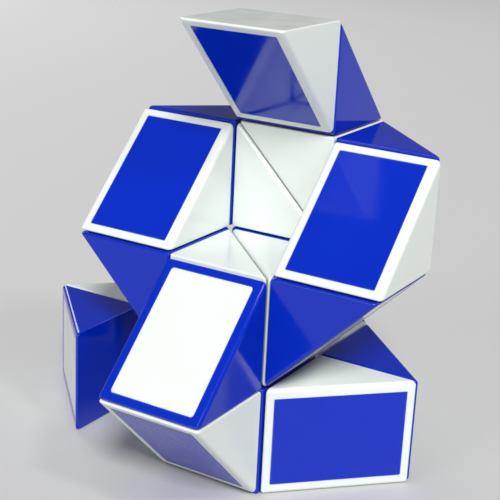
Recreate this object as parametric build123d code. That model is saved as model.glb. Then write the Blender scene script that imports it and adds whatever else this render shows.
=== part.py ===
from build123d import *

import os
from math import sqrt

# Twisty snake puzzle: 24 hollow triangular wedges in one chain, white and blue in turn.
#
# Every wedge is half of a cube cut along a diagonal. Its two square faces carry the swivel
# joints, and its sloping rectangle is closed by a flat panel of the other colour. The chain is
# folded on a cubic lattice: the middle wedges curl into a ball, the head end stands on top of
# it and the tail end lies flat underneath as a foot. Millimetres, +Z up, origin in the middle
# of the footprint on the plane that the foot stands on.

# ---------------------------------------------------------------- driving dimensions
PITCH = 21.5            # edge of one lattice cell: distance between a wedge's joint planes
GAP = 0.3               # air between the square faces of two neighbouring wedges
DIAGONAL_INSET = 0.15   # the sloping face stays this far inside the diagonal of its cell
EDGE_R = 0.3            # rounding of a wedge's outer edges, except these two kinds
SPINE_R = 0.6           # rounding of the long edge between its two square faces
SIDE_R = 0.8            # rounding of the two long sides of its sloping face
BORDER = 1.9            # frame that is left visible around a panel

PANEL_FIT = 0.05        # air around a panel in its frame
PANEL_SINK = 0.05       # how far a panel lies below its frame
PANEL_THICK = 1.2
CORNER_R = {"white": 0.2, "blue": 0.5}   # corners of the panel opening, by shell colour
TONGUE = (7.0, 0.9, 3.0)    # locating tongue under a panel: width, thickness, depth

THREAD_R = 1.0          # screw thread, and the pilot hole that it cuts into
THREAD_LENGTH = 4.2
SHOULDER_R = 1.5        # plain part of the screw, the journal that a wedge turns on
SHOULDER_FIT = 0.08     # radial running clearance of the journal
HEAD_R, HEAD_HEIGHT = 2.2, 1.2
CROSS_SLOT = (2.6, 0.55, 0.7)   # one bar of the cross recess: length, width, depth
WASHER_R, WASHER_THICK = 2.5, 0.4
SPRING_R, SPRING_WIRE_R = 1.95, 0.22    # to the middle of the wire, and the wire itself
SPRING_LENGTH, SPRING_TURNS = 3.0, 4
SPRING_AIR = 0.1        # air between the spring and the wall that it would press on

BOSS_R, BOSS_LENGTH = 2.6, 3.2          # screw boss inside a blue wedge
CUP_R, CUP_WALL, CUP_HEIGHT = 2.75, 0.5, 0.8    # ring that centres the spring, white wedge
RIB = (3.6, 1.2, 0.2)       # click rib on a blue square face: length, width, height
GROOVE = (4.0, 1.6, 0.25)   # the groove that it stands over, on a white square face
CLICK_R = 6.4               # from the joint axis to the middle of a rib or groove

WEDGES = 24
FIRST_CELL = (0, -1, 1)     # lattice cell of wedge 1, the head
# The way through the chain: into wedge 1, then from each wedge into the next, and out.
ROUTE = ("-Z +Y -Z +X -Y -Z -X +Y +Z -X -Y -Z +X -Y -Z +Y +X +Y -X +Y -X -Y -X -Y +X").split()

# ---------------------------------------------------------------- worked out from those
HALF = PITCH / 2 - GAP / 2                  # cell centre to a wedge's outer face
SLOPE = DIAGONAL_INSET * sqrt(2)            # x + y on the sloping face, in wedge axes
WALL = BORDER / sqrt(2)                     # wall under a square face
INNER = HALF - WALL                         # cell centre to the inside of that wall
OPENING = 2.0                               # a pocket reaches this far out through the slope
POCKET_HALF = HALF - BORDER                 # half length of the pocket between end walls
TIP = SLOPE + EDGE_R * sqrt(2)              # a sharp rounded edge ends this far short
FLOOR_CELLS = 2                             # cells between the lattice origin and floor
ORIGIN = Vector(-TIP / 2, 0, FLOOR_CELLS * PITCH - GAP / 2)     # lattice origin, part frame

STEPS = {"X": Vector(1, 0, 0), "Y": Vector(0, 1, 0), "Z": Vector(0, 0, 1)}
WAY = [STEPS[step[1]] * (1 if step[0] == "+" else -1) for step in ROUTE]


# ---------------------------------------------------------------- the lattice
def cell_centres():
    """The middle of each wedge's lattice cell, in the part frame."""
    centre = ORIGIN + (Vector(*FIRST_CELL) + Vector(0.5, 0.5, 0.5)) * PITCH
    centres = [centre]
    for step in WAY[1:WEDGES]:
        centre = centre + step * PITCH
        centres.append(centre)
    return centres


CENTRES = cell_centres()


def wedge_plane(n):
    """Wedge n's own axes: x out of its entry face, y out of its exit face."""
    entry, leaving = WAY[n - 1] * -1, WAY[n]
    return Plane(origin=CENTRES[n - 1], x_dir=entry, z_dir=entry.cross(leaving))


def joint_plane(n):
    """The joint between wedges n and n + 1, with z pointing into the white one of the two."""
    into_white = WAY[n] * (-1 if is_white(n) else 1)
    across = STEPS["Z"] if abs(into_white.Z) < 0.5 else STEPS["X"]
    return Plane(origin=CENTRES[n - 1] + WAY[n] * (PITCH / 2), x_dir=across, z_dir=into_white)


def is_white(n):
    return n % 2 == 1


# Joint faces in wedge axes, with z out of the wedge. The tail has no exit joint.
ENTRY_FACE = Plane(origin=(HALF, 0, 0), x_dir=(0, 1, 0), z_dir=(1, 0, 0))
EXIT_FACE = Plane(origin=(0, HALF, 0), x_dir=(1, 0, 0), z_dir=(0, 1, 0))
# Middle of the sloping face: x along its long side, z into the wedge.
SLOPE_FACE = Plane(origin=(SLOPE / 2, SLOPE / 2, 0), x_dir=(1, -1, 0), z_dir=(1, 1, 0))
UP = (Align.CENTER, Align.CENTER, Align.MIN)    # a primitive that stands on its plane
DOWN = (Align.CENTER, Align.CENTER, Align.MAX)  # a primitive that hangs from its plane


# ---------------------------------------------------------------- wedge and panel
def prism(face, slope, half_length):
    """A prism between the planes x = face, y = face and x + y = slope."""
    corners = [(face, face), (face, slope - face), (slope - face, face)]
    return extrude(Polygon(*corners, align=None), half_length, both=True)


def outer_shape():
    """A wedge without its pocket: sharp along the two thin edges, rounder on the other three."""
    solid = prism(HALF, SLOPE, HALF)
    at_ends = [edge for edge in solid.edges() if abs(edge.center().Z) > HALF - 0.01]
    solid = fillet([edge for edge in at_ends if runs_down_slope(edge)], SIDE_R)
    solid = fillet([edge for edge in solid.edges() if runs_by_spine(edge)], SPINE_R)
    smooth = [edge for edge in solid.edges() if runs_down_slope(edge) or runs_by_spine(edge)]
    return fillet([edge for edge in solid.edges() if edge not in smooth], EDGE_R)


def runs_down_slope(edge):
    """Whether a straight edge is parallel to the long sides of the sloping face."""
    along = edge.tangent_at(0.5)
    return edge.geom_type == GeomType.LINE and along.X * along.Y < -0.49


def runs_by_spine(edge):
    """Whether a straight lengthwise edge is the spine, or borders its rounding."""
    lengthwise = edge.geom_type == GeomType.LINE and abs(edge.tangent_at(0.5).Z) > 0.99
    return lengthwise and edge.center().X + edge.center().Y > HALF


def pocket(corner_r, fit=0.0):
    """The room behind a panel, open through the sloping face, with its side edges rounded."""
    room = prism(INNER - fit, SLOPE - OPENING, POCKET_HALF - fit)
    side_edges = room.edges().filter_by(Axis.X) + room.edges().filter_by(Axis.Y)
    return fillet(side_edges, corner_r)


def click_marks(size, depth_sign):
    """Four radial bars around a joint axis, standing out of the face or sunk into it."""
    length, width, height = size
    bar = Pos(CLICK_R, 0, depth_sign * height / 2) * Box(length, width, height)
    return [Rot(0, 0, 45 + 90 * k) * bar for k in range(4)]


def white_wedge(joint_faces):
    """Shell with a journal hole, click grooves and a spring cup at each joint."""
    shell = outer_shape() - pocket(CORNER_R["white"])
    for face in joint_faces:
        cup = Cylinder(CUP_R + CUP_WALL, CUP_HEIGHT) - Cylinder(CUP_R, CUP_HEIGHT)
        shell += face * (Pos(0, 0, -WALL - CUP_HEIGHT / 2) * cup)
        shell -= face * Cylinder(SHOULDER_R + SHOULDER_FIT, 3 * WALL)
        for groove in click_marks(GROOVE, -1):
            shell -= face * groove
    return shell


def blue_wedge(joint_faces):
    """Shell with a screw boss and click ribs at each joint."""
    shell = outer_shape() - pocket(CORNER_R["blue"])
    depth = WALL + BOSS_LENGTH
    for face in joint_faces:
        shell += face * (Pos(0, 0, -depth + BOSS_LENGTH / 2) * Cylinder(BOSS_R, BOSS_LENGTH))
        for rib in click_marks(RIB, 1):
            shell += face * rib
        shell -= face * Cylinder(THREAD_R, 2 * depth + 1)
    return shell


def panel(corner_r):
    """Plate that beds on the sloping walls of its pocket, with a tongue at each short end."""
    span = 3 * PITCH
    slab = Pos(0, 0, PANEL_SINK + PANEL_THICK / 2) * Box(span, span, PANEL_THICK)
    plate = pocket(corner_r, PANEL_FIT) & (SLOPE_FACE * slab)
    width, thick, depth = TONGUE
    reach = POCKET_HALF - PANEL_FIT - thick / 2
    below = PANEL_SINK + PANEL_THICK + depth / 2
    for side in (-1, 1):
        plate += SLOPE_FACE * (Pos(0, side * reach, below) * Box(width, thick, depth))
    return plate


# ---------------------------------------------------------------- joint fastener
def shoulder_screw(head_base):
    """Pan-head shoulder screw, with its head beginning at head_base and its tip in the boss."""
    shoulder_base = -GAP / 2
    thread = Cylinder(THREAD_R, THREAD_LENGTH, align=DOWN)
    shoulder = Cylinder(SHOULDER_R, head_base - shoulder_base, align=UP)
    head = Cylinder(HEAD_R, HEAD_HEIGHT, align=UP)
    head = fillet(head.edges().group_by(Axis.Z)[-1], HEAD_HEIGHT / 2)
    length, width, depth = CROSS_SLOT
    for turn in (0, 90):
        bar = Box(length, width, depth, align=DOWN)
        head -= Pos(0, 0, HEAD_HEIGHT) * Rot(0, 0, turn) * bar
    screw = Pos(0, 0, shoulder_base) * (thread + shoulder)
    return screw + Pos(0, 0, head_base) * head


def joint_fastener():
    """Screw, washer and spring of one joint, as three solids. z = 0 is the joint plane."""
    spring_base = GAP / 2 + WALL + SPRING_AIR
    washer_base = spring_base + SPRING_LENGTH
    coil_rise = SPRING_LENGTH - 2 * SPRING_WIRE_R
    coil = Helix(coil_rise / SPRING_TURNS, coil_rise, SPRING_R)
    wire = Plane(origin=coil @ 0, z_dir=coil % 0) * Circle(SPRING_WIRE_R)
    spring = Pos(0, 0, spring_base + SPRING_WIRE_R) * sweep(wire, coil, is_frenet=True)
    washer = Cylinder(WASHER_R, WASHER_THICK, align=UP)
    washer -= Cylinder(SHOULDER_R + SHOULDER_FIT, WASHER_THICK, align=UP)
    washer = Pos(0, 0, washer_base) * washer
    return [shoulder_screw(washer_base + WASHER_THICK), washer, spring]



# ---------------------------------------------------------------- the chain
def chain():
    """Every node of the puzzle by name: 24 shells, 24 panels, and the joint fasteners.

    A joint's screw, washer and spring turn with the blue wedge that the screw is driven
    into, so each blue wedge has one node that holds the fasteners of its joints.
    """
    both, head_only, tail_only = [ENTRY_FACE, EXIT_FACE], [EXIT_FACE], [ENTRY_FACE]
    whites = {n: white_wedge(faces) for n, faces in ((1, head_only), (3, both))}
    blues = {n: blue_wedge(faces) for n, faces in ((2, both), (WEDGES, tail_only))}
    blue_panel, white_panel = panel(CORNER_R["white"]), panel(CORNER_R["blue"])
    fastener = joint_fastener()
    nodes = {}
    for n in range(1, WEDGES + 1):
        if is_white(n):
            shell, plate = whites[1 if n == 1 else 3], blue_panel
        else:
            shell, plate = blues[WEDGES if n == WEDGES else 2], white_panel
        place = wedge_plane(n).location
        nodes[f"wedge_{n:02d}_{'white' if is_white(n) else 'blue'}"] = [place * shell]
        nodes[f"panel_{n:02d}_{'blue' if is_white(n) else 'white'}"] = [place * plate]
        if not is_white(n):
            joints = [j for j in (n - 1, n) if j < WEDGES]
            nodes[f"joint_screws_{n:02d}"] = [
                joint_plane(j).location * piece for j in joints for piece in fastener
            ]
    return nodes


def main():
    os.makedirs("parts", exist_ok=True)
    for name, pieces in chain().items():
        solids = [solid for piece in pieces for solid in piece.solids()]
        node = solids[0] if len(solids) == 1 else Compound(children=solids)
        node.label = name
        export_step(node, f"parts/{name}.step")


main()
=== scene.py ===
"""Looks of the twisty snake puzzle: glossy moulded plastic, joint hardware, studio and camera."""
import math

import bpy
from mathutils import Matrix, Vector


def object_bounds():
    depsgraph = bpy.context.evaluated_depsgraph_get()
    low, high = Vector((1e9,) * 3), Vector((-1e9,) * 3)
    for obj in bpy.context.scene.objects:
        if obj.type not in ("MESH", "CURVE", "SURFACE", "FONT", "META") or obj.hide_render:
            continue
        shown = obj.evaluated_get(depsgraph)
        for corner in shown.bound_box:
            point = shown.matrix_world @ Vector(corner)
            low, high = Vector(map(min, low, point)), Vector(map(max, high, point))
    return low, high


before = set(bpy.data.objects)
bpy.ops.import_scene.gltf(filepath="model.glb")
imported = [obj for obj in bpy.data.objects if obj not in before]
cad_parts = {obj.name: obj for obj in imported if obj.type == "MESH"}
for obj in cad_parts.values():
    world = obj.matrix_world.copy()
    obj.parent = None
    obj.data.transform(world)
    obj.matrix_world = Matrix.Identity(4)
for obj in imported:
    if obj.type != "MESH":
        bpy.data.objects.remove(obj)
cad_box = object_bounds()

# ---------------------------------------------------------------- camera
VIEW_AZIMUTH = math.radians(30.56)      # clockwise round the figure from its front, -Y
VIEW_ELEVATION = math.radians(18.07)
VIEW_ROLL = math.radians(2.83)
AIM = Vector((0.00398, 0.00066, 0.03871))
DISTANCE = 0.2421
FOCAL_LENGTH, SENSOR = 88.3, 36.0


def make_camera():
    data = bpy.data.cameras.new("camera")
    data.lens, data.sensor_width = FOCAL_LENGTH, SENSOR
    data.clip_start, data.clip_end = 0.01, 20
    camera = bpy.data.objects.new("camera", data)
    bpy.context.collection.objects.link(camera)
    turn = (Matrix.Rotation(VIEW_AZIMUTH, 4, "Z")
            @ Matrix.Rotation(math.pi / 2 - VIEW_ELEVATION, 4, "X")
            @ Matrix.Rotation(VIEW_ROLL, 4, "Z"))
    camera.matrix_world = Matrix.Translation(AIM) @ turn @ Matrix.Translation((0, 0, DISTANCE))
    bpy.context.scene.camera = camera


# ---------------------------------------------------------------- materials
# Scales of noise are in features per metre.
CLOUD_SCALE, HAZE_SCALE, SCUFF_SCALE, RIPPLE_SCALE = 90, 160, 420, 55
SCRATCH_SCALE = (120, 4200, 4200)       # long along one axis, hair-thin across it
SCRATCH_TURNS = ((0.3, 0.5, 0.9), (1.1, -0.4, 2.3))
SCRATCH_HEIGHT = 0.000006
RIPPLE_HEIGHT = 0.00012
WORN_EDGE = 0.0004                      # how far in from an edge the wear reaches, in metres
ROUGHER = 0.16                          # roughness that full wear adds; scratches add half
PLASTIC_IOR = 1.47
SKIN_DEPTH = 0.0012                     # how far light spreads inside the white plastic
GRAIN_SCALE = 900


def new_material(name):
    material = bpy.data.materials.new(name)
    material.use_nodes = True
    nodes, links = material.node_tree.nodes, material.node_tree.links
    return material, nodes, links, nodes["Principled BSDF"]


def feed(links, socket, value):
    """Sets a socket to a number or a colour, or links it to another node's output."""
    if isinstance(value, bpy.types.NodeSocket):
        links.new(value, socket)
    else:
        socket.default_value = (*value, 1) if isinstance(value, tuple) else value


def noise(nodes, links, coords, scale, detail=3.0):
    node = nodes.new("ShaderNodeTexNoise")
    node.inputs["Scale"].default_value = scale
    node.inputs["Detail"].default_value = detail
    links.new(coords, node.inputs["Vector"])
    return node.outputs["Fac"]


def ramp(nodes, links, value, low, high, start=0.3, end=0.7):
    """A value from start to end becomes one from low to high, and no further."""
    node = nodes.new("ShaderNodeMapRange")
    limits = {"From Min": start, "From Max": end, "To Min": low, "To Max": high}
    for name, limit in limits.items():
        node.inputs[name].default_value = limit
    links.new(value, node.inputs["Value"])
    return node.outputs["Result"]


def mix_colour(nodes, links, factor, first, second):
    node = nodes.new("ShaderNodeMix")
    node.data_type = "RGBA"
    feed(links, node.inputs["A"], first)
    feed(links, node.inputs["B"], second)
    links.new(factor, node.inputs["Factor"])
    return node.outputs["Result"]


def calculate(nodes, links, operation, first, second):
    node = nodes.new("ShaderNodeMath")
    node.operation = operation
    feed(links, node.inputs[0], first)
    feed(links, node.inputs[1], second)
    return node.outputs["Value"]


def bump(nodes, links, height, distance, strength, normal=None):
    node = nodes.new("ShaderNodeBump")
    node.inputs["Strength"].default_value = strength
    node.inputs["Distance"].default_value = distance
    links.new(height, node.inputs["Height"])
    if normal:
        links.new(normal, node.inputs["Normal"])
    return node


def scratches(nodes, links, coords, turn):
    """Thin broken lines, 0 to 1, that run along one axis of the turned coordinates."""
    mapping = nodes.new("ShaderNodeMapping")
    mapping.inputs["Rotation"].default_value = turn
    mapping.inputs["Scale"].default_value = SCRATCH_SCALE
    links.new(coords, mapping.inputs["Vector"])
    lines = noise(nodes, links, mapping.outputs["Vector"], 1.0, 1.0)
    return ramp(nodes, links, lines, 0.0, 1.0, 0.70, 0.76)


def edge_mask(nodes, links):
    """0 on the flats, 1 on the crest of every rounded edge."""
    bevel = nodes.new("ShaderNodeBevel")
    bevel.samples = 6
    bevel.inputs["Radius"].default_value = WORN_EDGE
    true_normal = nodes.new("ShaderNodeNewGeometry").outputs["Normal"]
    dot = nodes.new("ShaderNodeVectorMath")
    dot.operation = "DOT_PRODUCT"
    links.new(bevel.outputs["Normal"], dot.inputs[0])
    links.new(true_normal, dot.inputs[1])
    return ramp(nodes, links, dot.outputs["Value"], 1.0, 0.0, 0.90, 0.995)


def plastic(name, light, dark, worn, roughness, subsurface=0.0):
    """Glossy moulded plastic: faint clouds, polish that varies, hairline marks, worn edges."""
    material, nodes, links, shader = new_material(name)
    coords = nodes.new("ShaderNodeTexCoord").outputs["Object"]
    cloud = mix_colour(nodes, links, noise(nodes, links, coords, CLOUD_SCALE), light, dark)
    patchy = ramp(nodes, links, noise(nodes, links, coords, SCUFF_SCALE, 4), 0.0, 1.0, 0.40, 0.62)
    wear = calculate(nodes, links, "MULTIPLY", edge_mask(nodes, links), patchy)
    links.new(mix_colour(nodes, links, wear, cloud, worn), shader.inputs["Base Color"])

    marks = calculate(nodes, links, "MAXIMUM",
                      *(scratches(nodes, links, coords, turn) for turn in SCRATCH_TURNS))
    faint_marks = calculate(nodes, links, "MULTIPLY", marks, 0.5)
    marred = calculate(nodes, links, "MAXIMUM", faint_marks, wear)
    haze = ramp(nodes, links, noise(nodes, links, coords, HAZE_SCALE, 5),
                roughness * 0.7, roughness * 1.5)
    added = calculate(nodes, links, "MULTIPLY", marred, ROUGHER)
    links.new(calculate(nodes, links, "ADD", haze, added), shader.inputs["Roughness"])

    ripple = bump(nodes, links, noise(nodes, links, coords, RIPPLE_SCALE, 1), RIPPLE_HEIGHT, 0.25)
    hairline = bump(nodes, links, marks, SCRATCH_HEIGHT, 0.12, ripple.outputs["Normal"])
    hairline.invert = True
    links.new(hairline.outputs["Normal"], shader.inputs["Normal"])

    shader.inputs["IOR"].default_value = PLASTIC_IOR
    if subsurface:
        shader.inputs["Subsurface Weight"].default_value = subsurface
        shader.inputs["Subsurface Radius"].default_value = (1.0, 0.9, 0.8)
        shader.inputs["Subsurface Scale"].default_value = SKIN_DEPTH
    return material


def steel():
    material, nodes, links, shader = new_material("fastener_steel")
    coords = nodes.new("ShaderNodeTexCoord").outputs["Object"]
    grain = noise(nodes, links, coords, GRAIN_SCALE, 4)
    links.new(mix_colour(nodes, links, grain, (0.55, 0.56, 0.57), (0.42, 0.42, 0.41)),
              shader.inputs["Base Color"])
    links.new(ramp(nodes, links, grain, 0.25, 0.42), shader.inputs["Roughness"])
    shader.inputs["Metallic"].default_value = 1.0
    return material


def dress_nodes():
    """Gives every CAD node the material that its name calls for."""
    looks = {
        "white": plastic("white_plastic", (0.80, 0.85, 0.81), (0.75, 0.80, 0.76),
                         (0.62, 0.64, 0.60), 0.16, 0.15),
        "blue": plastic("blue_plastic", (0.0, 0.024, 0.49), (0.0, 0.019, 0.43),
                        (0.02, 0.06, 0.60), 0.09),
        "steel": steel(),
    }
    for name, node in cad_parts.items():
        kind = "steel" if name.startswith("joint_screws") else name.rsplit("_", 1)[1]
        node.data.materials.clear()
        node.data.materials.append(looks[kind])


# ---------------------------------------------------------------- studio
FLOOR_HALF, FLOOR_COLOUR, FLOOR_ROUGHNESS = 3.0, (0.58, 0.58, 0.58), 0.8
FLOOR_GAP = 0.0001      # the floor lies this far below the foot, so that the two don't meet
LIGHT_CENTRE = Vector((0, 0, 0.04))
KEY_DIRECTION = Vector((0.42, -0.60, 0.67))
KEY_STRENGTH, KEY_ANGLE = 2.85, math.radians(14)
# name: direction from the figure, distance, side length, power in watts
LIGHTS = {
    "fill": ((-0.25, -0.90, 0.38), 1.00, 0.40, 1.6),
    "back": ((0.30, 0.80, 0.60), 1.10, 0.40, 0.8),
    "left": ((-0.80, 0.45, 0.45), 1.00, 0.40, 2.2),
    "rim": ((0.66, -0.22, 0.72), 0.80, 0.08, 1.1),
}
SKY_STRENGTH = 0.13


def plain_material(name, colour, roughness):
    material, _, _, shader = new_material(name)
    shader.inputs["Base Color"].default_value = (*colour, 1)
    shader.inputs["Roughness"].default_value = roughness
    return material


def make_floor():
    mesh = bpy.data.meshes.new("floor")
    corners = [(-1, -1), (1, -1), (1, 1), (-1, 1)]
    mesh.from_pydata([(x * FLOOR_HALF, y * FLOOR_HALF, 0) for x, y in corners], [], [range(4)])
    mesh.materials.append(plain_material("floor", FLOOR_COLOUR, FLOOR_ROUGHNESS))
    floor = bpy.data.objects.new("floor", mesh)
    floor.location.z = cad_box[0].z - FLOOR_GAP
    bpy.context.collection.objects.link(floor)


def make_lights():
    sun = bpy.data.lights.new("key", "SUN")
    sun.energy, sun.angle = KEY_STRENGTH, KEY_ANGLE
    key = bpy.data.objects.new("key", sun)
    key.rotation_euler = KEY_DIRECTION.to_track_quat("Z", "Y").to_euler()
    bpy.context.collection.objects.link(key)
    for name, (direction, distance, size, power) in LIGHTS.items():
        data = bpy.data.lights.new(name, "AREA")
        data.shape, data.size, data.energy = "SQUARE", size, power
        lamp = bpy.data.objects.new(name, data)
        away = Vector(direction).normalized()
        lamp.location = LIGHT_CENTRE + away * distance
        lamp.rotation_euler = away.to_track_quat("Z", "Y").to_euler()
        bpy.context.collection.objects.link(lamp)
    world = bpy.data.worlds.new("studio")
    world.use_nodes = True
    sky = world.node_tree.nodes["Background"]
    sky.inputs["Color"].default_value = (1, 1, 1, 1)
    sky.inputs["Strength"].default_value = SKY_STRENGTH
    bpy.context.scene.world = world
    bpy.context.scene.view_settings.view_transform = "Standard"


make_camera()
dress_nodes()
make_floor()
make_lights()
